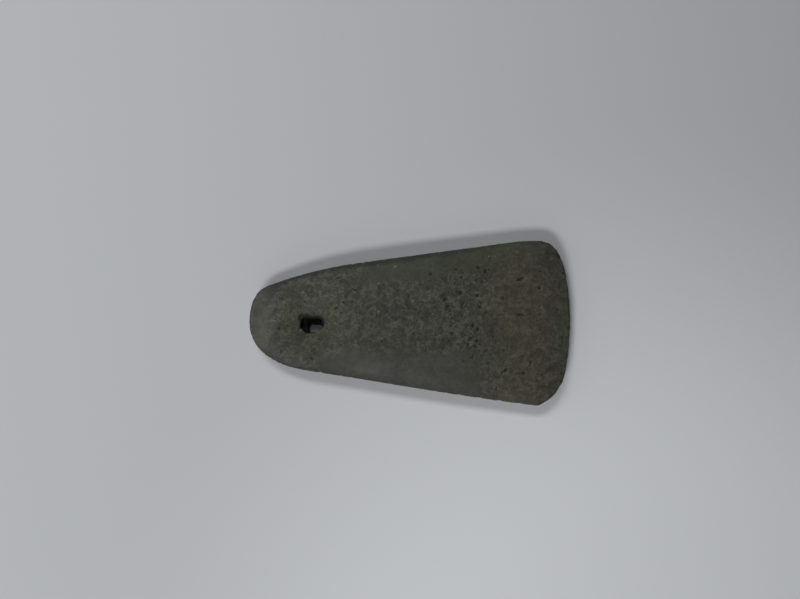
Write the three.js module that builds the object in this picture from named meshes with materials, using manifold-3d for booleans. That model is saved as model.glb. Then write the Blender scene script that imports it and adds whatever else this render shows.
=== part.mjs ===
// Polished stone axe head, ground from one slab and pierced near the butt for its lashing.
// Millimetres, +Z up. The axe lies flat: +X runs from the butt to the cutting edge, +Y across it.
// The origin is under the middle of the axe, on the plane of its ground lower face.
import * as THREE from "three";
import { mergeVertices } from "three/addons/utils/BufferGeometryUtils.js";
import Module from "manifold-3d";

const wasm = await Module();
wasm.setup();

// Overall size.
const LENGTH = 130;
const BLADE_WIDTH = 66.8; // from one corner of the blade to the other
const THICKNESS = 13; // at the belly

// Butt. "Back" is a distance from the butt tip, and "far" is the +Y side.
const TIP_ACROSS = 0.2; // the tip lies a little off the middle line
const NEAR_SHOULDER_BACK = 4.8;
const NEAR_SHOULDER = 11.2; // half width at the near shoulder
const NEAR_SHOULDER_HEADING = -45; // degrees, as the outline passes it anticlockwise
const NEAR_WAIST_BACK = 24.7; // where the straight near flank begins
const NEAR_WAIST = 19.4;
const FAR_SHOULDER_BACK = 7.1;
const FAR_SHOULDER = 15.1;
const FAR_SHOULDER_HEADING = 201;
const FAR_WAIST_BACK = 44.5; // the far flank bows longer before it runs straight
const FAR_WAIST = 24.6;

// Blade. "Inset" is a distance back from the crest of the cutting edge.
const CREST_ACROSS = 0.4;
const EDGE_RADIUS = 109; // sweep of the cutting edge
const EDGE_REACH = 20.7; // half width of that sweep, before the corners round off
const NEAR_CORNER_INSET = 13.5;
const NEAR_CORNER_FLARE = 2; // degrees that the near flank turns out by at its corner
const NEAR_CORNER_HEADING = 20.5;
const FAR_CORNER_INSET = 11.6;
const FAR_CORNER_HEADING = 170;
const FAR_FLANK_INSET = 23.3; // where the straight far flank ends
const FAR_FLANK_RISE = 0.45; // what it still widens by from there to the corner

// Faces, upper and lower alike.
const BELLY_BACK = 62; // butt tip to the thickest place
const BUTT_THINNING = 2.6; // how far each face falls from the belly to the butt
const BLADE_THINNING = 4.2; // and from the belly to the blade
const CROWN_DROP = 0.9; // and from the middle line to a corner of the blade
const BEVEL_SLOPE = 0.55; // rise of each bevel for each millimetre behind the cutting edge
const BEVEL_BLEND = 3; // softness of the line where the bevel meets the face
const EDGE_BLUNT = 0.7; // worn width of the cutting edge
const RIM_FLAT = 2.2; // height of the narrow ground strip round the flanks and the butt
const FAR_FLANK_ROUND = 4.5; // how far in the rounding of the rim reaches, at each side
const NEAR_FLANK_ROUND = 9;
const BUTT_ROUND = 11;
const ROUND_POWER = 2.2; // above 2 the rounding is a little squarer than an ellipse
const UPPER_GRIND = 0.25; // stone ground off the swell of the upper face, which leaves a flat
const LOWER_GRIND = 0.5; // and off the lower face

// Lashing hole, drilled by hand from both faces.
const HOLE_BACK = 26.8;
const HOLE_ACROSS = 0;
const THROAT_RADIUS = 3.5;
const BORES_MISS = 1.2; // the two bores meet off centre by this much
const BORE_OVERRUN = 1; // each bore's blunt point passes the middle by this much
const POINT_RADIUS = 2.4; // end of that blunt point
const LIP = 0.5; // rounding of the lip, where a bore opens into its dish
const UPPER_BORE = { mouthLength: 9.9, mouthWidth: 8.1, leanX: -0.8, leanY: 0.6 };
const LOWER_BORE = { mouthLength: 8.6, mouthWidth: 8.2, leanX: 0.4, leanY: 0.3 };
const UPPER_DISH = { radius: 13, depth: 1.4 }; // shallow hollow that the drilling started from
const LOWER_DISH = { radius: 10.5, depth: 1.0 };

// Fineness of the faceted surface.
const HALF_RIM_STEPS = 78; // points along each side of the outline
const RING_INSETS = [0, 0.35, 0.9, 1.7, 2.8, 4.2, 6, 8.5]; // rings of points inside the rim
const RING_SHARES = [0.24, 0.5, 0.76, 1]; // then in shares of what is left to the middle line
const BORE_STEPS = 48;
const CUTTER_CLEARANCE = 2; // how far the cutters stand proud of the stone
const LEAST_TURN = 1e-3; // a curve that turns less than this, in radians, counts as straight
const WELD = 1e-4; // points closer than this are one

const BUTT_X = -LENGTH / 2;
const CREST_X = LENGTH / 2;
const MIDDLE_Z = THICKNESS / 2;
const degrees = THREE.MathUtils.degToRad;
const { clamp, lerp, smoothstep } = THREE.MathUtils;

// A place that the outline passes, with its heading there. A second heading makes a corner.
const knot = (x, y, heading, leaving = heading) => ({ x, y, heading, leaving });
const headingFrom = (a, b) => Math.atan2(b[1] - a[1], b[0] - a[0]);

const edgeSag = EDGE_RADIUS - Math.sqrt(EDGE_RADIUS ** 2 - EDGE_REACH ** 2);
const edgeTurn = Math.asin(EDGE_REACH / EDGE_RADIUS);
const nearWaist = [BUTT_X + NEAR_WAIST_BACK, -NEAR_WAIST];
const nearCorner = [CREST_X - NEAR_CORNER_INSET, -BLADE_WIDTH / 2];
const nearHeading = headingFrom(nearWaist, nearCorner);
const farCorner = [CREST_X - FAR_CORNER_INSET, BLADE_WIDTH / 2];
const farFlankEnd = [CREST_X - FAR_FLANK_INSET, BLADE_WIDTH / 2 - FAR_FLANK_RISE];
const farWaist = [BUTT_X + FAR_WAIST_BACK, FAR_WAIST];
const farHeading = headingFrom(farFlankEnd, farWaist);
const tip = knot(BUTT_X, TIP_ACROSS, degrees(-90));
const crest = knot(CREST_X, CREST_ACROSS, degrees(90));

const NEAR_SIDE = [
  tip,
  knot(BUTT_X + NEAR_SHOULDER_BACK, -NEAR_SHOULDER, degrees(NEAR_SHOULDER_HEADING)),
  knot(...nearWaist, nearHeading),
  knot(...nearCorner, nearHeading + degrees(NEAR_CORNER_FLARE), degrees(NEAR_CORNER_HEADING)),
  knot(CREST_X - edgeSag, CREST_ACROSS - EDGE_REACH, degrees(90) - edgeTurn),
  crest,
];
const FAR_SIDE = [
  crest,
  knot(CREST_X - edgeSag, CREST_ACROSS + EDGE_REACH, degrees(90) + edgeTurn),
  knot(...farCorner, degrees(FAR_CORNER_HEADING), degrees(180)),
  knot(...farFlankEnd, farHeading),
  knot(...farWaist, farHeading),
  knot(BUTT_X + FAR_SHOULDER_BACK, FAR_SHOULDER, degrees(FAR_SHOULDER_HEADING)),
  tip,
];

// A curve between two knots that is a circular arc whenever their headings allow one.
function reach(from, to) {
  const chord = Math.hypot(to.x - from.x, to.y - from.y);
  const turn = Math.max(Math.acos(Math.cos(to.heading - from.leaving)), LEAST_TURN);
  const handle = (chord * 2 * Math.tan(turn / 4)) / (3 * Math.sin(turn / 2));
  return new THREE.CubicBezierCurve(
    new THREE.Vector2(from.x, from.y),
    new THREE.Vector2(from.x + handle * Math.cos(from.leaving), from.y + handle * Math.sin(from.leaving)),
    new THREE.Vector2(to.x - handle * Math.cos(to.heading), to.y - handle * Math.sin(to.heading)),
    new THREE.Vector2(to.x, to.y),
  );
}

// Even points along one side of the outline, with every knot among them and the last one left off.
function sidePoints(knots) {
  const curves = knots.slice(1).map((to, i) => reach(knots[i], to));
  const whole = curves.reduce((sum, curve) => sum + curve.getLength(), 0);
  const points = [];
  let covered = 0;
  for (const curve of curves) {
    covered += curve.getLength();
    const steps = Math.round((HALF_RIM_STEPS * covered) / whole) - points.length;
    for (let i = 0; i < steps; i++) points.push(curve.getPointAt(i / steps));
  }
  return points;
}

// Each point of the rim with the place on the middle line that its rings close on. The points of the
// two sides share those places in pairs.
function rimWithSpine() {
  const rim = [...sidePoints(NEAR_SIDE), ...sidePoints(FAR_SIDE)];
  const spineStart = BUTT_X + NEAR_WAIST;
  const spineEnd = CREST_X - BLADE_WIDTH / 2;
  return rim.map((point, i) => {
    const partner = rim[(rim.length - i) % rim.length];
    const spine = new THREE.Vector2(clamp((point.x + partner.x) / 2, spineStart, spineEnd), 0);
    return { point, spine };
  });
}

const smoothMin = (a, b, soft) => {
  const blend = Math.max(soft - Math.abs(a - b), 0) / soft;
  return Math.min(a, b) - (blend * blend * soft) / 4;
};

// Height of one face above the middle plane, before its rim is rounded.
function swell(x, y, grind) {
  const bellyX = BUTT_X + BELLY_BACK;
  const thinning = x < bellyX ? BUTT_THINNING : BLADE_THINNING;
  const away = x < bellyX ? (bellyX - x) / (bellyX - BUTT_X) : (x - bellyX) / (CREST_X - bellyX);
  const crown = CROWN_DROP * (y / (BLADE_WIDTH / 2)) ** 2;
  const face = THICKNESS / 2 + grind - crown - thinning * away ** 2;
  const behindEdge = EDGE_RADIUS - Math.hypot(x - (CREST_X - EDGE_RADIUS), y - CREST_ACROSS);
  const bevel = EDGE_BLUNT / 2 + BEVEL_SLOPE * Math.max(behindEdge, 0);
  return Math.max(smoothMin(face, bevel, BEVEL_BLEND), EDGE_BLUNT / 2);
}

// How far in the rounding reaches: widest round the butt, and wider along the near flank.
function roundingAt(x, y) {
  const flank = lerp(NEAR_FLANK_ROUND, FAR_FLANK_ROUND, smoothstep(y, -NEAR_WAIST, FAR_WAIST));
  return lerp(BUTT_ROUND, flank, smoothstep(x, BUTT_X, BUTT_X + NEAR_WAIST_BACK));
}

// Height of one face above the middle plane at a point that lies `inset` inside the rim.
function faceHeight(x, y, inset, grind) {
  const full = swell(x, y, grind);
  const strip = Math.min(RIM_FLAT / 2, full);
  const depth = (roundingAt(x, y) * full) / (THICKNESS / 2);
  const out = 1 - Math.min(inset / depth, 1);
  const rounded = (1 - out ** ROUND_POWER) ** (1 / ROUND_POWER);
  return Math.min(strip + (full - strip) * rounded, THICKNESS / 2);
}

// The blank: rings of points from the middle line of the lower face, round the rim, to the middle
// line of the upper one.
function blankGeometry() {
  const rim = rimWithSpine();
  const positions = [];
  const addRing = (insetAt, side, grind) => {
    for (const { point, spine } of rim) {
      const whole = point.distanceTo(spine);
      const inset = insetAt(whole);
      const { x, y } = point.clone().lerp(spine, inset / whole);
      positions.push(x, y, MIDDLE_Z + side * faceHeight(x, y, inset, grind));
    }
  };
  const innermost = RING_INSETS.at(-1);
  const insets = [
    ...RING_INSETS.map((inset) => () => inset),
    ...RING_SHARES.map((share) => (whole) => lerp(innermost, whole, share)),
  ];
  insets.toReversed().forEach((insetAt) => addRing(insetAt, -1, LOWER_GRIND));
  insets.forEach((insetAt) => addRing(insetAt, 1, UPPER_GRIND));
  const indices = [];
  for (let ring = 0; ring + 1 < 2 * insets.length; ring++) {
    for (let i = 0; i < rim.length; i++) {
      const here = ring * rim.length + i;
      const next = ring * rim.length + ((i + 1) % rim.length);
      indices.push(here, next, next + rim.length, here, next + rim.length, here + rim.length);
    }
  }
  const geometry = new THREE.BufferGeometry();
  geometry.setAttribute("position", new THREE.Float32BufferAttribute(positions, 3));
  geometry.setIndex(indices);
  return geometry;
}

// One side's drilling as a closed cutter. Its throat is at z = 0 and the stone's face at z = depth,
// which falls away by `slope` along the axe.
function drillGeometry({ depth, slope, bore, dish }) {
  const mouth = bore.mouthWidth / 2;
  const flare = (dish.radius - mouth) / dish.depth;
  const mouthZ = depth - dish.depth;
  const profile = [
    new THREE.Vector2(0, -BORE_OVERRUN),
    new THREE.Vector2(POINT_RADIUS, -BORE_OVERRUN),
    new THREE.Vector2(THROAT_RADIUS, 0),
    new THREE.Vector2((THROAT_RADIUS + mouth) / 2, mouthZ / 2),
    new THREE.Vector2(mouth - LIP / 4, mouthZ - LIP),
    new THREE.Vector2(mouth, mouthZ),
    new THREE.Vector2(mouth + LIP + (flare * LIP) / 4, mouthZ + LIP / 2),
    new THREE.Vector2(dish.radius, depth),
    new THREE.Vector2(dish.radius + flare * CUTTER_CLEARANCE, depth + CUTTER_CLEARANCE),
    new THREE.Vector2(0, depth + CUTTER_CLEARANCE),
  ];
  const geometry = new THREE.LatheGeometry(profile, BORE_STEPS).rotateX(Math.PI / 2);
  const place = geometry.attributes.position;
  for (let i = 0; i < place.count; i++) {
    const [x, y, z] = [place.getX(i), place.getY(i), place.getZ(i)];
    const climb = clamp(z / mouthZ, 0, 1);
    const atLip = climb * (1 - smoothstep(Math.hypot(x, y), mouth, dish.radius));
    const stretch = lerp(1, bore.mouthLength / bore.mouthWidth, atLip);
    place.setXYZ(i, x * stretch + bore.leanX * climb, y + bore.leanY * climb, z + slope * x * climb);
  }
  return geometry;
}

function solidOf(geometry) {
  const bare = geometry.clone();
  bare.deleteAttribute("normal");
  bare.deleteAttribute("uv");
  const merged = mergeVertices(bare, WELD);
  const corners = merged.index.array;
  const kept = [];
  for (let i = 0; i < corners.length; i += 3) {
    const [a, b, c] = corners.subarray(i, i + 3);
    if (a !== b && b !== c && c !== a) kept.push(a, b, c);
  }
  const mesh = new wasm.Mesh({
    numProp: 3,
    vertProperties: merged.attributes.position.array,
    triVerts: new Uint32Array(kept),
  });
  return new wasm.Manifold(mesh);
}

function geometryOf(solid) {
  const mesh = solid.getMesh();
  const geometry = new THREE.BufferGeometry();
  geometry.setAttribute("position", new THREE.BufferAttribute(mesh.vertProperties, 3));
  geometry.setIndex(new THREE.BufferAttribute(mesh.triVerts, 1));
  geometry.computeVertexNormals();
  return geometry;
}

// The drilling of one face, ready to be set at the hole with its throat on the middle plane.
function drillFor(grind, bore, dish) {
  const holeX = BUTT_X + HOLE_BACK;
  const depth = swell(holeX, HOLE_ACROSS, grind);
  const slope = (swell(holeX + LIP, HOLE_ACROSS, grind) - depth) / LIP;
  return drillGeometry({ depth, slope, bore, dish });
}

const stone = new THREE.MeshStandardMaterial({ color: 0x45463e, roughness: 0.6, metalness: 0 });

function axeHead() {
  const holeX = BUTT_X + HOLE_BACK;
  const upper = drillFor(UPPER_GRIND, UPPER_BORE, UPPER_DISH).translate(holeX, HOLE_ACROSS, MIDDLE_Z);
  const lower = drillFor(LOWER_GRIND, LOWER_BORE, LOWER_DISH)
    .rotateX(Math.PI)
    .translate(holeX, HOLE_ACROSS - BORES_MISS, MIDDLE_Z);
  const pierced = solidOf(blankGeometry()).subtract(solidOf(upper)).subtract(solidOf(lower));
  const mesh = new THREE.Mesh(geometryOf(pierced), stone);
  mesh.name = "axe_head";
  return mesh;
}

const axe = new THREE.Group();
axe.add(axeHead());

export default axe;
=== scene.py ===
"""Polished stone axe: a dark greenstone blade with a drilled lashing hole, lying on a pale table.

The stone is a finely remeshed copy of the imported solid. Its ground flats, pecked texture, pits, edge
nicks and chipped lip are moved into the mesh, and one procedural material colours it.
"""

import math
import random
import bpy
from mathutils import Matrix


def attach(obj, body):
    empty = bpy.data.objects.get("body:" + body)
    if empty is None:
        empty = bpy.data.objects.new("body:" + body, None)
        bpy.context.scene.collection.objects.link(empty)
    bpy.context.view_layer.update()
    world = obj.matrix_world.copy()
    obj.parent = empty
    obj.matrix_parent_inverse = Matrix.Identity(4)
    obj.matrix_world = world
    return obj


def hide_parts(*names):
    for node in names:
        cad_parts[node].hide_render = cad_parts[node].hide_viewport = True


bl_info = {
    "name": "Polished stone axe",
    "version": (1, 0, 0),
    "blender": (4, 5, 0),
    "location": "3D View > Sidebar > Stone axe",
    "description": "Builds a polished stone axe head and the table that it lies on",
    "category": "Object",
}

import bmesh
import bpy
import numpy as np
from bpy.props import FloatProperty, FloatVectorProperty, IntProperty, PointerProperty
from mathutils import Matrix, Vector, noise

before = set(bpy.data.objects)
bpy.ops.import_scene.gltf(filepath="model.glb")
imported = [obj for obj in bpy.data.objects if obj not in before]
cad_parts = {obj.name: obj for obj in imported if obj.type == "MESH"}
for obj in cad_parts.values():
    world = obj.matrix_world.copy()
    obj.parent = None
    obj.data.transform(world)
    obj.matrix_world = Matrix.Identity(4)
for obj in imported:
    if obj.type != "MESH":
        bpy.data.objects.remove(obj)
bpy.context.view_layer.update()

MM = 0.001
SOLID = "axe_head"

# The blade points along +X, the butt along -X, and the upper face looks along +Z.
# Lengths below are in millimetres. Those written with MM, and those of the stage, are in metres.
HOLE_CENTRE = (-38.2, 0.0)
MOUTH_CENTRE = (-39.0, 0.6)
MOUTH_RADIUS = 5.2
MOUTH_BLEND = 0.4
# The waist of the hourglass hole, where the two drillings met in a ridge: centre, half sizes and height.
WAIST_CENTRE = (-38.35, -0.75)
WAIST_HALF_LENGTH = 3.0
WAIST_HALF_WIDTH = 2.6
WAIST_HEIGHT = 9.0
WAIST_SQUARENESS = 4
WAIST_ROUGHNESS = 0.25
# How fast the hole widens above and below the ridge, and the sides of the hole that the ridge is on.
FLARE_ABOVE = 0.95
FLARE_BELOW = 0.5
RIDGE_DIRECTION = 60
RIDGE_SPREAD = (-0.5, 0.3)
# The upright wall below the lip on the butt side: direction, radius, and the heights where it fades.
LEFT_WALL_DIRECTION = 188
LEFT_WALL_SPREAD = (0.35, 0.85)
LEFT_WALL_RADIUS = 5.6
LEFT_WALL_FOOT = (5.2, 8.4)
LEFT_WALL_TOP = (12.6, 12.0)
# The near lip, which overhangs the hole a little.
NEAR_LIP_DIRECTION = -70
NEAR_LIP_SPREAD = (0.5, 0.85)
NEAR_LIP_RADIUS = 2.75
NEAR_LIP_FOOT = (4.0, 7.5)
# Painted shade in the hole: the heights where its inside is painted dark, and how much higher that is on its
# unlit sides.
SHADE_HEIGHT = (10.9, 9.2)
SHADE_FOOT = (0.4, 2.5)
SHADE_SIDES = (0.3, 0.8)
SHADE_RISE = 1.9

# The cutting edge is an arc: how far along x its tip lies, and its radius.
BLADE_TIP = 65.0
EDGE_RADIUS = 109.0
# How far the cutting edge is worn back: all along it, as amount, wave size and seed.
EDGE_WEAR = ((0.10, 1.6, 6), (0.05, 0.7, 7))
# Single nicks in the cutting edge: y, half width and depth.
EDGE_NICKS = (
    (17.6, 1.5, 0.22),
    (-0.4, 0.5, 0.25),
    (-6.4, 2.2, 0.10),
    (-26.4, 1.3, 0.30),
    (25.6, 1.0, 0.15),
)
# How far in from the cutting edge the wear begins and is full.
EDGE_WEAR_REACH = (3.5, 0.6)

# Steepness is the height part of a normal: 1 where the stone is level and 0 where it is upright.
# Each pair says where an effect on steep places begins and where it is full.
FLANK_STEEPNESS = (0.95, 0.6)
CHIP_STEEPNESS = (0.75, 0.35)
WALL_STEEPNESS = (0.95, 0.75)
BORE_STEEPNESS = (0.97, 0.8)
SHADE_STEEPNESS = (0.6, 0.3)
RIM_STEEPNESS = (0.85, 0.35)
RIM_UNDERSIDE = (-0.6, -0.2)
# A point whose normal has a height part above this lies on the upper face.
FACING = 0.1

# Points of the solid that are closer than this are one point.
WELD_DISTANCE = 0.001 * MM
# The remeshed facets are smoothed in rounds of a shrinking and a growing step. Each pair says how far
# from the cutting edge, or from the mouth of the hole, the smoothing begins to fade and has stopped.
SMOOTHING_ROUNDS = 30
SMOOTHING_STEPS = (0.55, -0.57)
KEPT_EDGE = (2.4, 1.0)
KEPT_LIP = (1.6, 0.8)

# The ground places of the stone. Each pair says where one begins and where it is full.
GROUND_SWAY = ((2.6, 9.0, 24), (1.4, 3.0, 25))
NEAR_BAND_Y = (-7.0, -14.0)
NEAR_BAND_BUTT_END = (-42.0, -30.0)
NEAR_BAND_BLADE_END = (40.0, 20.0)
FAR_STRIP_Y = (14.0, 20.0)
FAR_STRIP_X = (-30.0, -10.0)
FAR_STRIP_SLOPE = 0.085
FAR_STRIP_BEND = 0.15
FAR_STRIP_BEND_X = 10.0
GROUND_BLADE_X = (22.0, 40.0)
GROUND_BUTT_X = (-50.0, -58.0)
# How much of the hammering the grinding took away there.
BAND_POLISH = 0.8
BLADE_POLISH = 0.52
BUTT_POLISH = 0.65
FLANK_POLISH = 0.55

# Depths and wave sizes of the relief that the settings don't hold.
LONG_WAVE = 15.0
SHORT_WAVE = 6.0
COARSE_HOLLOW = 2.1
FINE_HOLLOW = 1.15
PIT_CLUSTER = 9.0
BORE_GROOVE_DEPTH = 0.12
CHIP_DEPTH = 0.22
FLANK_WEAR = 0.05
# The values of a noise between which a hollow or a chip grows from nothing to its full depth.
COARSE_HOLLOW_NOISE = (0.12, -0.35)
FINE_HOLLOW_NOISE = (0.1, -0.4)
CHIP_NOISE = (0.15, 0.55)
# Painted shade in a ring round the hole, which darkens it through the hollows mask: radius and width.
HOLE_RING_RADIUS = 6.0
HOLE_RING_WIDTH = 4.5

# Soft oval patches: centre x and y, half length, half width.
PIT_CROWD = (24.0, 1.0, 8.0, 12.0)
DARK_CROWD = (23.5, 1.0, 6.5, 11.0)
OLIVE_PATCH = (43.0, -4.0, 5.0, 6.0)
GREY_CORNER = (52.5, 29.5, 6.5, 4.5)

# Where the stone is browner, greener, cooler and paler. Each pair says where a colour begins and is full.
TINT_SWAY = ((4.0, 14.0, 21), (1.5, 5.0, 22))
BROWN_X = (18.0, 42.0)
EDGE_X = (57.0, 61.0)
EDGE_GREEN_Y = (24.0, 16.0)
FAR_GREEN_Y = (13.0, 20.0)
FAR_GREEN_X = (-40.0, -15.0)
FAR_GREEN_SLOPE = 0.25
OLIVE_RING_RADIUS = 8.5
OLIVE_RING_WIDTH = 3.2
PALE_BUTT_X = (-53.5, -59.0)
COOL_BUTT_X = (-50.0, -57.0)
COOL_EDGE_X = (52.0, 60.0)
GREY_BAND_Y = (-8.0, -13.0)
GREY_BAND_BUTT_END = (-42.0, -28.0)
GREY_BAND_BLADE_END = (40.0, 22.0)
# Steps by which the stone grows paler from the butt to the cutting edge, partly its own tone and partly
# painted light: start, end and amount.
PALE_STEPS = (
    (-30.0, -5.0, 0.05),
    (2.0, 20.0, 0.09),
    (20.0, 44.0, 0.26),
    (52.0, 62.0, 0.28),
)
PALE_CORNER_X = (24.0, 34.0)
PALE_CORNER_Y = (-17.0, -23.0)
# Only stone above this height is rubbed pale.
WORN_ABOVE = 6.0

# The patterns of the stone: waves a metre, detail, roughness and distortion.
WORMS = (310.0, 1.2, 0.6, 0.9)
THREADS = (190.0, 1.5, 0.6, 1.6)
BREAKS = (300.0, 2.0, 0.6, 0.0)
CLOUDS = (90.0, 3.0, 0.55, 0.3)
GRAINS = (1100.0, 2.0, 0.65, 0.0)
PORES = (430.0, 1.0, 0.5, 1.2)
CLUSTERS = (130.0, 2.0, 0.5, 0.0)
MOTTLE = (200.0, 2.0, 0.5, 0.6)
RIDGES = (240.0, 1.5, 0.5, 0.8)
RAGGED_EDGE = (900.0, 1.0, 0.5, 0.0)
CRYSTAL_SCALE = 560.0
# How far aside, in metres, the ridge pattern is read again to find which way it slopes, which paints shade
# and light on its relief.
RIDGE_STEP = (0.15 * MM, 0.55 * MM, 0.0)
CRYSTAL_COLOUR = (0.17, 0.17, 0.155, 1.0)
BUMP_STRENGTH = 0.35
BUMP_HEIGHT = 0.12 * MM

# How the stored masks change the tone of the stone: the tone where a mask is 0 and where it is 1. The rim and
# the low hole are painted shade; the hollows are darker hammered stone, with painted shade in a ring round
# the hole.
MASK_TONES = (
    ("hollows", 1.04, 0.84),
    ("rim", 1.0, 0.5),
    ("deep", 1.0, 0.05),
)

# The stage: how far the table reaches each way, where the pool of light painted on it is brightest and by
# what factor, how far from there it turns brighter, and how far from the axe it fades into the backdrop.
TABLE_HALF_SIZE = 4.0
LIGHT_POOL_CENTRE = (0.115, -0.155, 0.0)
LIGHT_POOL_GAIN = 1.38
LIGHT_POOL_REACH = (0.25, 0.08)
BACKDROP_REACH = (0.22, 0.60)
# The area lamps: name, place, aim, length, width, and the setting that holds the power.
LAMPS = (
    ("near_lamp", (-0.28, -0.47, 0.72), (-0.16, 0.0, 0.0), 0.34, 0.16, "near_power"),
    ("near_wall", (-0.15, -0.70, 0.46), (0.0, -0.10, 0.0), 0.90, 0.35, "near_wall_power"),
    ("far_lamp", (-0.24, 0.47, 0.72), (-0.12, 0.0, 0.0), 0.40, 0.16, "far_power"),
    ("far_steep_lamp", (-0.20, 0.29, 0.44), (-0.20, 0.0, 0.0), 0.35, 0.10, "far_steep_power"),
    ("butt_lamp", (-0.75, 0.0, 0.42), (0.0, 0.0, 0.0), 0.30, 0.60, "butt_power"),
)
HOLE_LAMP_PLACE = (-0.039, 0.195, 0.60)
HOLE_LAMP_AIM = (-0.039, 0.0, 0.0)
HOLE_LAMP_REACH = 0.02
HOLE_LAMP_SIZE = 0.006
HOLE_LAMP_BLEND = 0.5
# The camera: its place, lens and sensor width in millimetres, and the nearest thing that it sees in metres.
CAMERA_PLACE = (-4.10, 9.64, 249.8)
CAMERA_LENS = 27.0
CAMERA_SENSOR = 36.0
CAMERA_NEAREST = 0.005

# Sharper pits seen on the upper face: x, y, length, width, turn in degrees, depth, in millimetres.
UPPER_PITS = (
    (43.9, 17.7, 3.8, 1.4, 12, 0.39),
    (43.6, 3.5, 3.8, 1.5, -8, 0.36),
    (37.6, -18.8, 3.8, 1.4, 40, 0.34),
    (55.8, 6.9, 1.5, 1.1, 0, 0.23),
    (24.8, -0.8, 2.4, 1.5, 110, 0.42),
    (13.9, 9.5, 2.3, 1.3, 30, 0.28),
    (14.7, 7.0, 1.5, 1.1, 0, 0.24),
    (20.9, 8.1, 1.8, 1.1, 60, 0.24),
    (23.9, -5.6, 1.7, 1.1, 30, 0.32),
    (25.5, -8.7, 1.6, 1.0, 100, 0.26),
    (15.3, -6.5, 1.5, 1.0, 0, 0.22),
    (23.0, -7.8, 2.0, 1.5, 110, 0.39),
    (20.2, 12.4, 1.5, 1.2, 20, 0.31),
    (26.6, 11.2, 1.8, 1.4, 150, 0.34),
    (29.7, 20.7, 1.8, 1.4, 140, 0.34),
    (31.7, 26.3, 1.8, 1.4, 145, 0.31),
    (-25.7, 10.8, 1.9, 1.4, 90, 0.29),
    (8.0, 19.5, 1.5, 1.2, 0, 0.26),
    (-29.8, 15.9, 1.6, 1.1, 60, 0.21),
    (-42.4, 2.9, 4.2, 2.8, 48, 0.90),
    (-43.5, -1.5, 2.0, 1.5, 60, 0.59),
    (-41.8, -2.2, 1.9, 1.3, 120, 0.52),
)
# Shallow flake scars and one broad worn hollow on the upper face, in the same order.
UPPER_SCARS = (
    (-25.0, -20.6, 7.0, 2.2, 12, 0.22),
    (53.6, 30.2, 5.5, 2.6, -25, 0.16),
    (-28.0, 20.6, 6.5, 2.0, 14, 0.14),
    (44.0, -4.0, 9.0, 6.0, 80, 0.07),
)
# Rubbed and chipped places of paler stone: x, y, half length, half width, turn in degrees, strength.
WORN_PATCHES = (
    (53.2, 30.6, 3.2, 1.2, -22, 0.30),
    (56.6, 28.3, 2.0, 0.6, -40, 0.45),
    (-28.0, 20.8, 3.6, 0.9, 14, 0.28),
    (-25.0, -20.9, 3.4, 0.9, -8, 0.30),
    (-33.0, 19.0, 2.0, 0.7, 20, 0.25),
)
# White crystals in the upper face: x and y.
UPPER_SPECKS = ((-42.7, 12.4), (-12.6, 4.9), (-12.6, 16.0), (0.8, 8.9), (-5.9, 22.7))

# How each stored patch turns the colour of the stone: factors on red, green and blue.
TINTS = (
    ("brown", (1.10, 0.98, 1.00, 1.0)),
    ("green", (1.00, 1.11, 1.02, 1.0)),
    ("olive", (1.05, 1.05, 0.86, 1.0)),
    ("cool", (1.00, 1.00, 1.14, 1.0)),
    ("pale", (1.80, 1.80, 1.80, 1.0)),
)


class StoneSettings(bpy.types.PropertyGroup):
    grid: FloatProperty(
        name="Grid",
        description="Size of the mesh squares",
        default=0.43 * MM,
        min=0.3 * MM,
        max=3 * MM,
        precision=5,
        subtype="DISTANCE",
        unit="LENGTH",
    )
    waves: FloatProperty(
        name="Ground waves",
        description="Depth of the long hollows left by grinding",
        default=0.10 * MM,
        min=0,
        precision=5,
        subtype="DISTANCE",
        unit="LENGTH",
    )
    pecking: FloatProperty(
        name="Pecking",
        description="Depth of the small hammered hollows that the polish left",
        default=0.10 * MM,
        min=0,
        precision=5,
        subtype="DISTANCE",
        unit="LENGTH",
    )
    pit_count: IntProperty(
        name="Pits",
        description="Number of small scattered pits",
        default=520,
        min=0,
    )
    pit_depth: FloatProperty(
        name="Pit depth",
        description="Depth of the scattered pits",
        default=0.16 * MM,
        min=0,
        precision=5,
        subtype="DISTANCE",
        unit="LENGTH",
    )
    seed: IntProperty(
        name="Seed",
        description="Start of the random scatter",
        default=11,
        min=0,
    )
    body_colour: FloatVectorProperty(
        name="Stone",
        description="Main colour of the stone",
        default=(0.0418, 0.0431, 0.0293),
        size=3,
        min=0,
        max=1,
        precision=4,
        subtype="COLOR",
    )
    fleck_colour: FloatVectorProperty(
        name="Flecks",
        description="Colour of the lighter flecks",
        default=(0.0774, 0.0817, 0.0599),
        size=3,
        min=0,
        max=1,
        precision=4,
        subtype="COLOR",
    )
    dark_colour: FloatVectorProperty(
        name="Dark grains",
        description="Colour of the darker grains and of the dirt in the pits",
        default=(0.0130, 0.0130, 0.0094),
        size=3,
        min=0,
        max=1,
        precision=4,
        subtype="COLOR",
    )
    roughness: FloatProperty(
        name="Roughness",
        description="Roughness of the polished stone",
        default=0.62,
        min=0,
        max=1,
        subtype="FACTOR",
    )


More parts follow.
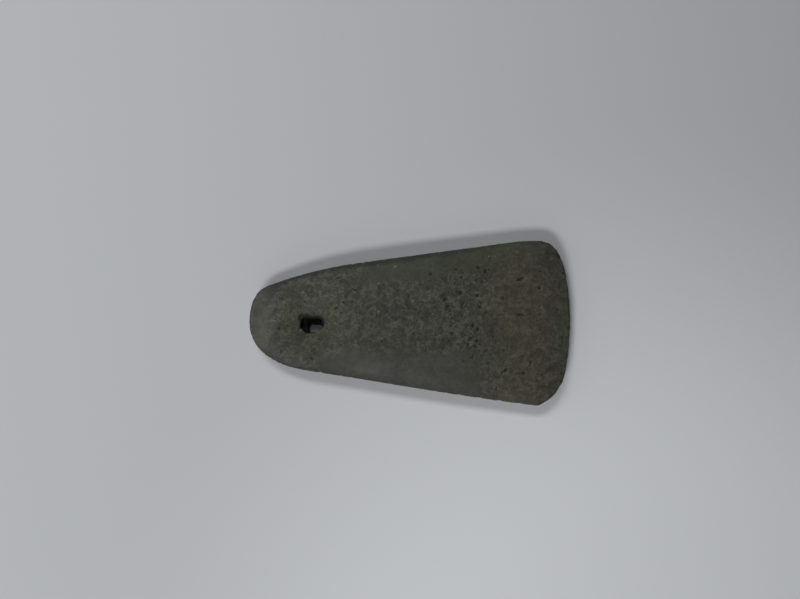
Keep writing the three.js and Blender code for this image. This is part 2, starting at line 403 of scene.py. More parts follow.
class StageSettings(bpy.types.PropertyGroup):
    table_colour: FloatVectorProperty(
        name="Table",
        description="Colour of the table",
        default=(0.671, 0.694, 0.722),
        size=3,
        min=0,
        max=1,
        precision=4,
        subtype="COLOR",
    )
    backdrop_colour: FloatVectorProperty(
        name="Backdrop",
        description="Colour of the backdrop beyond the table",
        default=(0.40, 0.415, 0.435),
        size=3,
        min=0,
        max=1,
        precision=4,
        subtype="COLOR",
    )
    near_power: FloatProperty(
        name="Near lamp",
        description="Power of the strip lamp on the near side",
        default=2.66,
        min=0,
        subtype="POWER",
        unit="POWER",
    )
    near_wall_power: FloatProperty(
        name="Low near lamp",
        description="Power of the wide low lamp on the near side",
        default=0.60,
        min=0,
        subtype="POWER",
        unit="POWER",
    )
    far_power: FloatProperty(
        name="Far lamp",
        description="Power of the long strip lamp on the far side",
        default=1.80,
        min=0,
        subtype="POWER",
        unit="POWER",
    )
    far_steep_power: FloatProperty(
        name="Steep far lamp",
        description="Power of the steeper strip lamp on the far side",
        default=0.26,
        min=0,
        subtype="POWER",
        unit="POWER",
    )
    butt_power: FloatProperty(
        name="Butt lamp",
        description="Power of the low lamp beyond the butt",
        default=0.45,
        min=0,
        subtype="POWER",
        unit="POWER",
    )
    hole_power: FloatProperty(
        name="Hole lamp",
        description="Power of the narrow spot lamp that shows the table through the hole",
        default=0.60,
        min=0,
        subtype="POWER",
        unit="POWER",
    )
    fill: FloatProperty(
        name="Fill",
        description="Strength of the light from all round",
        default=0.008,
        min=0,
    )


def smoothstep(low, high, values):
    """0 below low and 1 above high, with a smooth climb between them."""
    share = np.clip((values - low) / (high - low), 0.0, 1.0)
    return share * share * (3.0 - 2.0 * share)


def noise_over(points, size, seed):
    """Smooth noise from about -1 to 1 at each point. Size is how far apart its waves are."""
    shift = Vector((13.7 * seed, 7.3 * seed, 3.1 * seed))
    return np.array([noise.noise(Vector(point) / size + shift) for point in points])


def noise_share(points, size, seed):
    """The same noise, from about 0 to 1."""
    return 0.5 + 0.5 * noise_over(points, size, seed)


def sway_of(points, waves):
    """How far the borders of patches wander, as a sum of noises: amount, size and seed."""
    return sum(amount * noise_over(points, size, seed) for amount, size, seed in waves)


def read_vectors(source, count, name):
    """The vectors of a mesh layer, one in each row."""
    values = np.empty(count * 3, dtype=np.float64)
    source.foreach_get(name, values)
    return values.reshape(-1, 3)


def mesh_points(mesh):
    """Where the points of a mesh are, in millimetres."""
    return read_vectors(mesh.vertices, len(mesh.vertices), "co") / MM


def mesh_normals(mesh):
    """Which way the mesh looks at each point."""
    return read_vectors(mesh.vertex_normals, len(mesh.vertices), "vector")


def store_points(mesh, points):
    """Moves the points of a mesh to places given in millimetres."""
    mesh.vertices.foreach_set("co", (points * MM).astype(np.float32).ravel())
    mesh.update()


def store_mask(mesh, name, values):
    """Stores one number for each point, which the material reads by its name."""
    attribute = mesh.attributes.new(name, "FLOAT", "POINT")
    attribute.data.foreach_set("value", values.astype(np.float32))


def fine_copy(name, solid, grid):
    """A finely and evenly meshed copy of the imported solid."""
    mesh = bpy.data.meshes.new(name)
    welded = bmesh.new()
    welded.from_mesh(solid.data)
    bmesh.ops.remove_doubles(welded, verts=welded.verts[:], dist=WELD_DISTANCE)
    welded.to_mesh(mesh)
    welded.free()
    rough = bpy.data.objects.new(name + "_rough", mesh)
    bpy.context.scene.collection.objects.link(rough)
    remesh = rough.modifiers.new("Remesh", "REMESH")
    remesh.mode = "VOXEL"
    remesh.voxel_size = grid
    remesh.adaptivity = 0.0
    bpy.context.view_layer.update()
    evaluated = rough.evaluated_get(bpy.context.evaluated_depsgraph_get())
    fine = bpy.data.meshes.new_from_object(evaluated)
    fine.name = name
    fine.materials.clear()
    bpy.data.objects.remove(rough)
    bpy.data.meshes.remove(mesh)
    return fine


def smooth_facets(mesh, keep):
    """Evens out the flat triangles of the solid. Points with keep near 1 stay where they are."""
    points = mesh_points(mesh)
    count = len(points)
    ends = np.empty(len(mesh.edges) * 2, dtype=np.int64)
    mesh.edges.foreach_get("vertices", ends)
    first, second = ends.reshape(-1, 2).T
    neighbours = np.bincount(first, minlength=count) + np.bincount(second, minlength=count)
    neighbours = np.maximum(neighbours, 1)
    freedom = (1.0 - keep)[:, None]
    for _ in range(SMOOTHING_ROUNDS):
        for strength in SMOOTHING_STEPS:
            mean = np.empty_like(points)
            for axis in range(3):
                column = points[:, axis]
                mean[:, axis] = (
                    np.bincount(first, weights=column[second], minlength=count)
                    + np.bincount(second, weights=column[first], minlength=count)
                ) / neighbours
            points = points + strength * freedom * (mean - points)
    store_points(mesh, points)


def cutting_edge(y):
    """How far along x the curved cutting edge lies, at each y."""
    return BLADE_TIP - (EDGE_RADIUS - np.sqrt(np.maximum(EDGE_RADIUS * EDGE_RADIUS - y * y, 0.0)))


def distance_from(points, centre):
    """How far each point lies from a place, seen from above."""
    return np.hypot(points[:, 0] - centre[0], points[:, 1] - centre[1])


def soft_patch(x, y, patch):
    """A soft oval patch, 1 at its centre."""
    centre_x, centre_y, half_length, half_width = patch
    return np.exp(-((x - centre_x) / half_length) ** 2 - ((y - centre_y) / half_width) ** 2)


def turned(x, y, turn):
    """The same places along and across an axis that is turned by so many degrees."""
    angle = math.radians(turn)
    along = x * math.cos(angle) + y * math.sin(angle)
    across = y * math.cos(angle) - x * math.sin(angle)
    return along, across


def dent(points, normals, ragged, sinks, dirt, centre, length, width, turn, depth, on_top=False):
    """Adds one oval hollow to the depths in sinks, and to the dirt mask if there is one."""
    reach = max(length, width) / 2
    offset = points - centre
    near = np.abs(offset[:, 0]) < reach
    near &= np.abs(offset[:, 1]) < reach
    near &= np.abs(offset[:, 2]) < reach + 1.5
    if on_top:
        near &= normals[:, 2] > FACING
    chosen = np.nonzero(near)[0]
    if not len(chosen):
        return
    along, across = turned(offset[chosen, 0], offset[chosen, 1], turn)
    height = 0.0 if on_top else offset[chosen, 2]
    share = np.sqrt((2 * along / length) ** 2 + (2 * across / width) ** 2 + (2 * height / width) ** 2)
    hollow = np.clip(1.0 - share * share + 0.9 * ragged[chosen] * (share < 1.0), 0.0, 1.0)
    sinks[chosen] += depth * hollow
    if dirt is not None:
        dirt[chosen] = np.maximum(dirt[chosen], hollow)


def face_point(points, normals, x, y):
    """The point of the upper face nearest to x, y."""
    gap = (points[:, 0] - x) ** 2 + (points[:, 1] - y) ** 2
    gap = np.where(normals[:, 2] > FACING, gap, np.inf)
    return points[int(gap.argmin())]


def polish_of(points):
    """1 where the stone is ground smooth, and 0 where the hammered hollows are still there."""
    sway = sway_of(points, GROUND_SWAY)
    x = points[:, 0] + sway
    y = points[:, 1] + sway
    near_band = smoothstep(*NEAR_BAND_Y, y)
    near_band *= smoothstep(*NEAR_BAND_BUTT_END, x) * smoothstep(*NEAR_BAND_BLADE_END, x)
    slope = FAR_STRIP_SLOPE * x + FAR_STRIP_BEND * np.maximum(x - FAR_STRIP_BEND_X, 0.0)
    far_strip = smoothstep(*FAR_STRIP_Y, y - slope) * smoothstep(*FAR_STRIP_X, x)
    bands = BAND_POLISH * np.maximum(near_band, far_strip)
    blade = BLADE_POLISH * smoothstep(*GROUND_BLADE_X, x)
    butt = BUTT_POLISH * smoothstep(*GROUND_BUTT_X, x)
    return np.maximum(bands, np.maximum(blade, butt))


def scatter_pits(points, normals, ragged, sinks, dirt, polish, outside, settings):
    """Sinks small pits, which crowd together in places and keep off the polished stone."""
    scatter = random.Random(settings.seed)
    for _ in range(settings.pit_count):
        chosen = scatter.randrange(len(points))
        x, y = points[chosen, 0], points[chosen, 1]
        place = Vector((x / PIT_CLUSTER, y / PIT_CLUSTER, 4.0 + normals[chosen, 2]))
        cluster = 0.5 + 0.5 * noise.noise(place)
        chance = 0.25 + 0.6 * cluster + 0.7 * soft_patch(x, y, PIT_CROWD)
        chance *= (1.0 - 0.8 * polish[chosen]) * outside[chosen]
        if scatter.random() > chance:
            continue
        size = 0.7 + 0.7 * scatter.random() ** 2
        stretch = 1.0 + 1.2 * scatter.random() ** 2
        depth = settings.pit_depth / MM * (0.5 + 0.9 * scatter.random())
        turn = scatter.uniform(0, 180)
        dent(points, normals, ragged, sinks, dirt, points[chosen], size * stretch, size, turn, depth)


def carve_stone(mesh, settings):
    """Moves the grinding waves, hammered hollows, pits, scars and edge nicks into the mesh."""
    points = mesh_points(mesh)
    normals = mesh_normals(mesh)
    level = np.abs(normals[:, 2])
    polish = np.maximum(polish_of(points), FLANK_POLISH * smoothstep(*FLANK_STEEPNESS, level))
    from_hole = distance_from(points, HOLE_CENTRE)
    in_bore = smoothstep(MOUTH_RADIUS + MOUTH_BLEND, MOUTH_RADIUS - MOUTH_BLEND, from_hole)
    outside = 1.0 - in_bore

    waves = 0.75 * noise_share(points, LONG_WAVE, 1) + 0.25 * noise_share(points, SHORT_WAVE, 2)
    sinks = outside * (1.0 - 0.6 * polish) * waves * settings.waves / MM
    hollows = smoothstep(*COARSE_HOLLOW_NOISE, noise_over(points, COARSE_HOLLOW, 3))
    hollows += 0.35 * smoothstep(*FINE_HOLLOW_NOISE, noise_over(points, FINE_HOLLOW, 4))
    sinks += outside * (1.0 - polish) * hollows * settings.pecking / MM
    flat_grain = points * np.array((1, 1, 2.5))
    sinks += in_bore * BORE_GROOVE_DEPTH * noise_share(flat_grain, 1.6, 5)
    tall_grain = points * np.array((1, 1, 0.4))
    chips = smoothstep(*CHIP_NOISE, noise_over(tall_grain, 1.3, 12))
    sinks += outside * smoothstep(*CHIP_STEEPNESS, level) * (FLANK_WEAR + CHIP_DEPTH * chips)

    dirt = np.zeros(len(points))
    ragged = noise_over(points, 0.8, 9)
    for marks, stain in ((UPPER_PITS, dirt), (UPPER_SCARS, None)):
        for x, y, length, width, turn, depth in marks:
            centre = face_point(points, normals, x, y)
            dent(points, normals, ragged, sinks, stain, centre, length, width, turn, depth, True)
    scatter_pits(points, normals, ragged, sinks, dirt, polish, outside, settings)

    moved = points - normals * sinks[:, None]
    moved = nick_edge(ridge_bore(moved, in_bore, level))
    store_points(mesh, moved)
    painted_ring_shade = 0.55 * np.exp(-((from_hole - HOLE_RING_RADIUS) / HOLE_RING_WIDTH) ** 2)
    masks = {
        "dirt": dirt,
        "polish": polish,
        "bore": in_bore * smoothstep(*BORE_STEEPNESS, level),
        # Painted shade low in the hole and on its unlit walls.
        "deep": in_bore * painted_hole_shade(points, moved, level, from_hole),
        # Darker hammered hollows, and painted shade in a ring round the hole.
        "hollows": np.clip(hollows + painted_ring_shade, 0.0, 1.0) * (1.0 - polish),
        # Painted shade on the upper flanks and along the cutting edge.
        "rim": rim_shade_of(points, normals, outside),
        "specks": crystal_mask(points, normals),
        "dense": soft_patch(points[:, 0], points[:, 1], DARK_CROWD),
    }
    masks.update(tint_masks(points))
    for name, values in masks.items():
        store_mask(mesh, name, values)


def painted_hole_shade(points, moved, level, from_hole):
    """Painted shade: 1 low in the hole and, higher up, on the walls at its butt side and near side."""
    distance = np.maximum(from_hole, 0.1)
    buttward = smoothstep(*SHADE_SIDES, (HOLE_CENTRE[0] - points[:, 0]) / distance)
    nearward = smoothstep(*SHADE_SIDES, (HOLE_CENTRE[1] - points[:, 1]) / distance)
    sides = np.maximum(buttward, nearward * smoothstep(*SHADE_STEEPNESS, level))
    height = moved[:, 2]
    return smoothstep(*SHADE_HEIGHT, height - SHADE_RISE * sides) * smoothstep(*SHADE_FOOT, height)


def rim_shade_of(points, normals, outside):
    """Painted shade: 1 on the upper half of the flanks, and nearly 1 along the cutting edge."""
    upward = normals[:, 2]
    flanks = outside * smoothstep(*RIM_STEEPNESS, upward) * smoothstep(*RIM_UNDERSIDE, upward)
    edge_x = cutting_edge(points[:, 1])
    return np.maximum(flanks, 0.75 * smoothstep(edge_x - 1.3, edge_x - 0.4, points[:, 0]))


def crystal_mask(points, normals):
    """1 on the white crystals of the upper face."""
    crystals = np.zeros(len(points))
    for place in UPPER_SPECKS:
        spot = smoothstep(0.60, 0.15, distance_from(points, place)) * (normals[:, 2] > FACING)
        crystals = np.maximum(crystals, spot)
    return crystals


def ridge_bore(points, in_bore, level):
    """Shapes the inside of the hole: the ridge at its waist, the upright wall and the near lip."""
    across = points[:, 0] - WAIST_CENTRE[0]
    up = points[:, 1] - WAIST_CENTRE[1]
    height = points[:, 2]
    radius = np.maximum(np.hypot(across, up), 1e-6)
    wall = in_bore * smoothstep(*WALL_STEEPNESS, level)
    roughness = WAIST_ROUGHNESS * noise_over(points, 1.5, 8)

    def side(direction, spread):
        """1 on the side of the hole that lies in a direction, given in degrees from +X."""
        return smoothstep(*spread, turned(across, up, direction)[0] / radius)

    square = (np.abs(across) / WAIST_HALF_LENGTH) ** WAIST_SQUARENESS
    square += (np.abs(up) / WAIST_HALF_WIDTH) ** WAIST_SQUARENESS
    rise = height - WAIST_HEIGHT
    flare = FLARE_ABOVE * np.maximum(rise, 0.0) + FLARE_BELOW * np.maximum(-rise, 0.0)
    ridge = radius / square ** (1.0 / WAIST_SQUARENESS) + roughness + flare
    changed = radius - wall * side(RIDGE_DIRECTION, RIDGE_SPREAD) * np.maximum(radius - ridge, 0.0)

    upright = LEFT_WALL_RADIUS * smoothstep(*LEFT_WALL_FOOT, height) * smoothstep(*LEFT_WALL_TOP, height)
    wider = np.maximum(upright + roughness - changed, 0.0)
    changed += wall * side(LEFT_WALL_DIRECTION, LEFT_WALL_SPREAD) * wider

    narrower = smoothstep(*NEAR_LIP_FOOT, height) * np.maximum(changed - NEAR_LIP_RADIUS, 0.0)
    changed -= wall * side(NEAR_LIP_DIRECTION, NEAR_LIP_SPREAD) * narrower

    moved = points.copy()
    moved[:, 0] = WAIST_CENTRE[0] + across * changed / radius
    moved[:, 1] = WAIST_CENTRE[1] + up * changed / radius
    return moved


def tint_masks(points):
    """Where the stone is browner, greener, cooler and paler, as broad patches with uneven borders. The paler
    mask is partly the stone's own worn and ground places and partly painted light.
    """
    sway = sway_of(points, TINT_SWAY)
    x = points[:, 0] + sway
    y = points[:, 1] + sway
    grey_band = smoothstep(*GREY_BAND_Y, y)
    grey_band *= smoothstep(*GREY_BAND_BUTT_END, x) * smoothstep(*GREY_BAND_BLADE_END, x)
    grey_corner = soft_patch(x, points[:, 1], GREY_CORNER)
    edge = smoothstep(*EDGE_X, x)

    brown = smoothstep(*BROWN_X, x) * (1.0 - 0.8 * edge) * (1.0 - 0.7 * grey_corner)
    far_side = smoothstep(*FAR_GREEN_Y, y - FAR_GREEN_SLOPE * np.maximum(x, 0.0))
    green = np.maximum(far_side * smoothstep(*FAR_GREEN_X, x), 0.8 * edge * smoothstep(*EDGE_GREEN_Y, y))
    green *= 1.0 - 0.8 * grey_corner
    from_ring = distance_from(points, MOUTH_CENTRE) + 0.4 * sway - OLIVE_RING_RADIUS
    olive = np.maximum(0.9 * np.exp(-(from_ring / OLIVE_RING_WIDTH) ** 2), soft_patch(x, y, OLIVE_PATCH))
    cool = np.maximum(smoothstep(*COOL_BUTT_X, x), 0.8 * grey_band)
    cool = np.maximum(cool, np.maximum(0.7 * smoothstep(*COOL_EDGE_X, x), grey_corner))

    # Partly painted light: the paler butt, near band and blade stand in for how light falls there, besides
    # the stone's own tone.
    pale = np.maximum(0.84 * smoothstep(*PALE_BUTT_X, x), 0.26 * grey_band)
    paler = sum(amount * smoothstep(start, end, x) for start, end, amount in PALE_STEPS)
    paler += 0.07 * smoothstep(*PALE_CORNER_X, x) * smoothstep(*PALE_CORNER_Y, y)
    pale = np.maximum(pale, paler)
    for patch_x, patch_y, half_length, half_width, turn, strength in WORN_PATCHES:
        along, aside = turned(points[:, 0] - patch_x, points[:, 1] - patch_y, turn)
        spread = (along / half_length) ** 2 + (aside / half_width) ** 2
        worn = strength * smoothstep(1.5, 0.3, spread + 0.25 * sway)
        pale = np.maximum(pale, worn * (points[:, 2] > WORN_ABOVE))
    return {"brown": brown, "green": green, "olive": olive, "pale": pale, "cool": cool}


def nick_edge(points):
    """Wears the cutting edge back a little, unevenly, along its length."""
    x, y = points[:, 0], points[:, 1]
    along = np.column_stack((np.zeros_like(y), y, np.zeros_like(y)))
    wear = sum(amount * noise_share(along, size, seed) for amount, size, seed in EDGE_WEAR)
    for place, half_width, depth in EDGE_NICKS:
        wear += depth * np.exp(-((y - place) / half_width) ** 2)
    edge_x = cutting_edge(y)
    start, full = EDGE_WEAR_REACH
    pulled = points.copy()
    pulled[:, 0] -= wear * smoothstep(edge_x - start, edge_x - full, x)
    return pulled


def kept_places(points):
    """1 by the cutting edge and the lip of the hole, which stay sharp when the facets are smoothed."""
    edge_x = cutting_edge(points[:, 1])
    edge_start, edge_full = KEPT_EDGE
    by_edge = smoothstep(edge_x - edge_start, edge_x - edge_full, points[:, 0])
    lip_start, lip_full = KEPT_LIP
    from_hole = distance_from(points, HOLE_CENTRE)
    by_lip = smoothstep(MOUTH_RADIUS + lip_start, MOUTH_RADIUS + lip_full, from_hole)
    return np.maximum(by_edge, by_lip)


def opaque(colour):
    """A colour with nothing of it see-through."""
    return (colour[0], colour[1], colour[2], 1.0)


class Painter:
    """Adds the shading nodes of one material or world. A value is an output, a number or a tuple."""

    def __init__(self, owner):
        owner.use_nodes = True
        self.nodes = owner.node_tree.nodes
        self.links = owner.node_tree.links

    def feed(self, socket, value):
        """Gives a socket its value."""
        if isinstance(value, (int, float, tuple)):
            socket.default_value = value
        else:
            self.links.new(value, socket)

    def node(self, kind, *values):
        """A node of a kind, with values for its first sockets."""
        node = self.nodes.new(kind)
        for socket, value in zip(node.inputs, values):
            self.feed(socket, value)
        return node

    def math(self, operation, *values):
        """A sum, product or other operation on numbers."""
        node = self.node("ShaderNodeMath", *values)
        node.operation = operation
        return node.outputs[0]

    def product(self, first, *others):
        """All values multiplied with each other."""
        for other in others:
            first = self.math("MULTIPLY", first, other)
        return first

    def vector(self, operation, *values):
        """An operation on places or colours, as a node."""
        node = self.node("ShaderNodeVectorMath", *values)
        node.operation = operation
        return node

    def span(self, value, low, high, to_low=0.0, to_high=1.0):
        """A smooth climb from one number at low to another at high."""
        node = self.nodes.new("ShaderNodeMapRange")
        node.interpolation_type = "SMOOTHSTEP"
        self.feed(node.inputs["Value"], value)
        self.feed(node.inputs["From Min"], low)
        self.feed(node.inputs["From Max"], high)
        self.feed(node.inputs["To Min"], to_low)
        self.feed(node.inputs["To Max"], to_high)
        return node.outputs["Result"]

    def line(self, pattern, level, low, high):
        """Thin winding lines, where a pattern is close to one level."""
        gap = self.math("ABSOLUTE", self.math("SUBTRACT", pattern, level))
        return self.span(gap, low, high)

    def mix(self, share, first, second, blend="MIX"):
        """Two colours mixed."""
        node = self.nodes.new("ShaderNodeMix")
        node.data_type = "RGBA"
        node.blend_type = blend
        self.feed(node.inputs[0], share)
        self.feed(node.inputs[6], first)
        self.feed(node.inputs[7], second)
        return node.outputs[2]

    def noise(self, place, pattern):
        """A noise pattern, as its scale, detail, roughness and distortion say."""
        node = self.nodes.new("ShaderNodeTexNoise")
        node.noise_dimensions = "3D"
        self.feed(node.inputs["Vector"], place)
        for name, value in zip(("Scale", "Detail", "Roughness", "Distortion"), pattern):
            self.feed(node.inputs[name], value)
        return node.outputs["Fac"]

    def mask(self, name):
        """What store_mask stored by that name."""
        node = self.nodes.new("ShaderNodeAttribute")
        node.attribute_type = "GEOMETRY"
        node.attribute_name = name
        return node.outputs["Fac"]

    def own_place(self):
        """Where a point lies in the object's own frame."""
        return self.nodes.new("ShaderNodeTexCoord").outputs["Object"]

    def camera_ray(self):
        """1 for what the camera sees straight, and 0 for light that bounces."""
        return self.nodes.new("ShaderNodeLightPath").outputs["Is Camera Ray"]


def stone_colour(paint, place, worms, rough_share, settings):
    """The body of the stone with its winding pale flecks, dark grains and pores, and its broad tints."""
    threads = paint.line(paint.noise(place, THREADS), 0.52, 0.035, 0.012)
    lines = paint.math("MAXIMUM", paint.line(worms, 0.5, 0.075, 0.02), threads)
    broken = paint.span(paint.noise(place, BREAKS), 0.40, 0.52)
    flecks = paint.product(lines, broken, rough_share)
    pore_noise = paint.noise(place, PORES)
    clustered = paint.math("MULTIPLY_ADD", paint.mask("dense"), 0.16, paint.noise(place, CLUSTERS))
    chosen = paint.span(clustered, 0.42, 0.56, 0.1, 1.0)
    rims = paint.product(paint.line(pore_noise, 0.40, 0.035, 0.012), chosen, rough_share, 0.8)
    flecks = paint.math("MAXIMUM", flecks, rims)
    grains = paint.product(paint.span(worms, 0.42, 0.30), 0.45, rough_share)
    pores = paint.product(paint.span(pore_noise, 0.35, 0.30), chosen, rough_share, 0.85)

    colour = paint.mix(flecks, opaque(settings.body_colour), opaque(settings.fleck_colour))
    colour = paint.mix(grains, colour, opaque(settings.dark_colour))
    colour = paint.mix(pores, colour, opaque(settings.dark_colour))
    for name, tint in TINTS:
        tinted = paint.mix(1.0, colour, tint, "MULTIPLY")
        colour = paint.mix(paint.mask(name), colour, tinted)
    return colour


def stone_tone(paint, place, clouds, grains, rough_share):
    """How light each place is: broad clouds, mottle with painted shade and light on fine relief, grain, and
    the tones of the masks.
    """
    mottle = paint.span(paint.noise(place, MOTTLE), 0.3, 0.7, -0.11, 0.11)
    # Painted shade: the ridge pattern minus a shifted copy, lighter on one side of each ridge and darker on
    # the other.
    aside = paint.vector("ADD", place, RIDGE_STEP).outputs[0]
    slope = paint.math("SUBTRACT", paint.noise(place, RIDGES), paint.noise(aside, RIDGES))
    painted_relief_shade = paint.span(slope, -0.12, 0.12, -0.13, 0.13)
    uneven = paint.math("ADD", mottle, painted_relief_shade)
    uneven_share = paint.span(paint.mask("brown"), 0.0, 1.0, 0.35, 1.0)
    grain = paint.span(grains, 0.3, 0.7, -0.17, 0.17)
    tones = [
        paint.span(clouds, 0.3, 0.7, 0.94, 1.06),
        paint.math("MULTIPLY_ADD", uneven, uneven_share, 1.0),
        paint.math("MULTIPLY_ADD", grain, rough_share, 1.0),
    ]
    for name, outside, inside in MASK_TONES:
        tones.append(paint.span(paint.mask(name), 0.0, 1.0, outside, inside))
    return paint.product(*tones)


def stone_dirt(paint, place):
    """How much dirt lies in the pits, with a ragged border."""
    dirt = paint.mask("dirt")
    ragged = paint.math("SUBTRACT", paint.noise(place, RAGGED_EDGE), 0.5)
    uneven = paint.math("MULTIPLY_ADD", ragged, 1.6, dirt)
    return paint.product(paint.span(uneven, 0.15, 0.50), paint.span(dirt, 0.0, 0.15), 0.88)


def stone_glints(paint, place):
    """The white crystals: a few scattered ones, and those at places of their own."""
    node = paint.nodes.new("ShaderNodeTexVoronoi")
    node.feature = "F1"
    paint.feed(node.inputs["Vector"], place)
    paint.feed(node.inputs["Scale"], CRYSTAL_SCALE)
    paint.feed(node.inputs["Randomness"], 1.0)
    cell = paint.node("ShaderNodeSeparateColor", node.outputs["Color"]).outputs["Green"]
    scattered = paint.product(paint.span(node.outputs["Distance"], 0.22, 0.08), paint.span(cell, 0.985, 0.99))
    return paint.math("MAXIMUM", scattered, paint.mask("specks"))


def polished_stone(settings):
    """Dark speckled stone, rough in its hammered hollows and calmer where it is ground."""
    material = bpy.data.materials.new("polished stone")
    paint = Painter(material)
    shader = paint.nodes["Principled BSDF"]
    place = paint.own_place()
    worms = paint.noise(place, WORMS)
    clouds = paint.noise(place, CLOUDS)
    grains = paint.noise(place, GRAINS)
    dirt = stone_dirt(paint, place)
    rough_share = paint.span(paint.mask("polish"), 0.85, 0.05, 0.28, 1.0)

    toned = paint.vector("SCALE", stone_colour(paint, place, worms, rough_share, settings))
    paint.feed(toned.inputs["Scale"], stone_tone(paint, place, clouds, grains, rough_share))
    red, green, blue = settings.dark_colour
    colour = paint.mix(dirt, toned.outputs[0], (1.3 * red, 1.15 * green, blue, 1.0))
    colour = paint.mix(stone_glints(paint, place), colour, CRYSTAL_COLOUR)
    paint.feed(shader.inputs["Base Color"], colour)

    gloss = paint.span(clouds, 0.3, 0.7, settings.roughness + 0.06, settings.roughness - 0.06)
    rougher = paint.math("MULTIPLY_ADD", paint.mask("bore"), 0.25, gloss)
    paint.feed(shader.inputs["Roughness"], paint.math("MULTIPLY_ADD", dirt, 0.2, rougher))

    height = paint.math("ADD", paint.product(worms, 0.6), paint.product(grains, 0.25))
    bump = paint.nodes.new("ShaderNodeBump")
    paint.feed(bump.inputs["Strength"], BUMP_STRENGTH)
    paint.feed(bump.inputs["Distance"], BUMP_HEIGHT)
    paint.feed(bump.inputs["Height"], paint.product(height, rough_share))
    paint.feed(shader.inputs["Normal"], bump.outputs["Normal"])
    return material


def table_finish(settings):
    """A pale sheet with a painted pool of light, brightest towards its near side, which fades into the
    backdrop far away.
    """
    material = bpy.data.materials.new("pale table")
    paint = Painter(material)
    shader = paint.nodes["Principled BSDF"]
    place = paint.own_place()
    # Painted light: the sheet is made paler round a spot beside the near side of the axe.
    from_pool = paint.vector("DISTANCE", place, LIGHT_POOL_CENTRE).outputs["Value"]
    paler = tuple(LIGHT_POOL_GAIN * part for part in settings.table_colour)
    colour = paint.mix(paint.span(from_pool, *LIGHT_POOL_REACH), opaque(settings.table_colour), opaque(paler))
    paint.feed(shader.inputs["Base Color"], colour)
    paint.feed(shader.inputs["Roughness"], 0.9)
    paint.feed(shader.inputs["Specular IOR Level"], 0.1)

    from_axe = paint.vector("LENGTH", place).outputs["Value"]
    far_share = paint.product(paint.span(from_axe, *BACKDROP_REACH), paint.camera_ray())
    glow = paint.node("ShaderNodeEmission", opaque(settings.backdrop_colour)).outputs[0]
    fade = paint.node("ShaderNodeMixShader", far_share, shader.outputs[0], glow).outputs[0]
    paint.feed(paint.nodes["Material Output"].inputs["Surface"], fade)
    return material


def room_light(settings):
    """A dim fill from all round, and a plain pale backdrop where the camera sees past the table."""
    world = bpy.data.worlds.new("room")
    paint = Painter(world)
    fill = paint.nodes["Background"]
    paint.feed(fill.inputs["Color"], (1.0, 1.0, 1.0, 1.0))
    paint.feed(fill.inputs["Strength"], settings.fill)
    backdrop = paint.node("ShaderNodeBackground", opaque(settings.backdrop_colour)).outputs[0]
    chosen = paint.node("ShaderNodeMixShader", paint.camera_ray(), fill.outputs[0], backdrop).outputs[0]
    paint.feed(paint.nodes["World Output"].inputs["Surface"], chosen)
    return world


class AXE_OT_stone(bpy.types.Operator):
    """Build the ground and drilled stone with its material"""

    bl_idname = "axe.stone"
    bl_label = "Stone"

    def execute(self, context):
        settings = context.scene.axe_stone
        mesh = fine_copy("axe_stone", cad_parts[SOLID], settings.grid)
        smooth_facets(mesh, kept_places(mesh_points(mesh)))
        carve_stone(mesh, settings)
        mesh.shade_smooth()
        stone = bpy.data.objects.new("axe_stone", mesh)
        context.scene.collection.objects.link(stone)
        mesh.materials.append(polished_stone(settings))
        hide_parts(SOLID)
        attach(stone, "root")
        return {"FINISHED"}


def turn_lamp(lamp, place, aim):
    """Puts a lamp in its place and turns it to a point of the table, with its long side along the axe."""
    lamp.location = place
    back = (Vector(place) - Vector(aim)).normalized()
    across = Vector((1.0, 0.0, 0.0))
    across = (across - back * back.dot(across)).normalized()
    lamp.rotation_mode = "QUATERNION"
    lamp.rotation_quaternion = Matrix((across, back.cross(across), back)).transposed().to_quaternion()


def add_lamp(name, kind, place, aim, power):
    """A lamp of a kind, turned to a point of the table. What comes back is its data."""
    data = bpy.data.lights.new(name, kind)
    data.energy = power
    lamp = bpy.data.objects.new(name, data)
    bpy.context.scene.collection.objects.link(lamp)
    turn_lamp(lamp, place, aim)
    return data


def light_stage(settings):
    """The long soft lamps, and the narrow spot lamp that lights the table through the hole."""
    for name, place, aim, length, width, power in LAMPS:
        data = add_lamp(name, "AREA", place, aim, getattr(settings, power))
        data.shape = "RECTANGLE"
        data.size = length
        data.size_y = width
    data = add_lamp("hole_lamp", "SPOT", HOLE_LAMP_PLACE, HOLE_LAMP_AIM, settings.hole_power)
    data.spot_size = 2 * math.atan2(HOLE_LAMP_REACH, HOLE_LAMP_PLACE[2])
    data.spot_blend = HOLE_LAMP_BLEND
    data.shadow_soft_size = HOLE_LAMP_SIZE


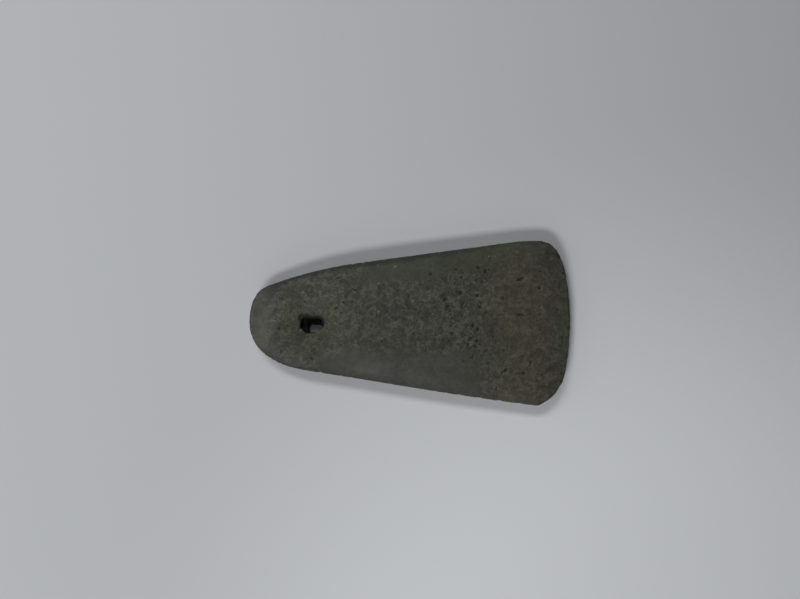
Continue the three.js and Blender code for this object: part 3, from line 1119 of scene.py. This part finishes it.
def make_table(settings):
    """A flat sheet below the axe."""
    mesh = bpy.data.meshes.new("table")
    sheet = bmesh.new()
    bmesh.ops.create_grid(sheet, x_segments=1, y_segments=1, size=TABLE_HALF_SIZE)
    sheet.to_mesh(mesh)
    sheet.free()
    mesh.materials.append(table_finish(settings))
    table = bpy.data.objects.new("table", mesh)
    bpy.context.scene.collection.objects.link(table)
    return table


def add_camera():
    """A camera that looks straight down at the axe."""
    data = bpy.data.cameras.new("camera")
    data.lens = CAMERA_LENS
    data.sensor_width = CAMERA_SENSOR
    data.clip_start = CAMERA_NEAREST
    camera = bpy.data.objects.new("camera", data)
    camera.location = Vector(CAMERA_PLACE) * MM
    bpy.context.scene.collection.objects.link(camera)
    return camera


class AXE_OT_stage(bpy.types.Operator):
    """Build the table, the lamps and the camera"""

    bl_idname = "axe.stage"
    bl_label = "Table, lamps and camera"

    def execute(self, context):
        settings = context.scene.axe_stage
        scene = context.scene
        table = make_table(settings)
        light_stage(settings)
        scene.world = room_light(settings)
        scene.camera = add_camera()
        scene.view_settings.view_transform = "Standard"
        return {"FINISHED"}


class AXE_PT_panel(bpy.types.Panel):
    """Sizes and colours of the axe, and the buttons that build it"""

    bl_idname = "AXE_PT_panel"
    bl_label = "Stone axe"
    bl_space_type = "VIEW_3D"
    bl_region_type = "UI"
    bl_category = "Stone axe"

    def draw(self, context):
        for settings in (context.scene.axe_stone, context.scene.axe_stage):
            box = self.layout.box()
            for name in settings.__annotations__:
                box.prop(settings, name)
        self.layout.operator(AXE_OT_stone.bl_idname)
        self.layout.operator(AXE_OT_stage.bl_idname)


CLASSES = (StoneSettings, StageSettings, AXE_OT_stone, AXE_OT_stage, AXE_PT_panel)


def register():
    for item in CLASSES:
        bpy.utils.register_class(item)
    bpy.types.Scene.axe_stone = PointerProperty(type=StoneSettings)
    bpy.types.Scene.axe_stage = PointerProperty(type=StageSettings)


def unregister():
    del bpy.types.Scene.axe_stage
    del bpy.types.Scene.axe_stone
    for item in reversed(CLASSES):
        bpy.utils.unregister_class(item)


def main():
    register()
    bpy.ops.axe.stage()
    bpy.ops.axe.stone()


if __name__ == "__main__":
    main()
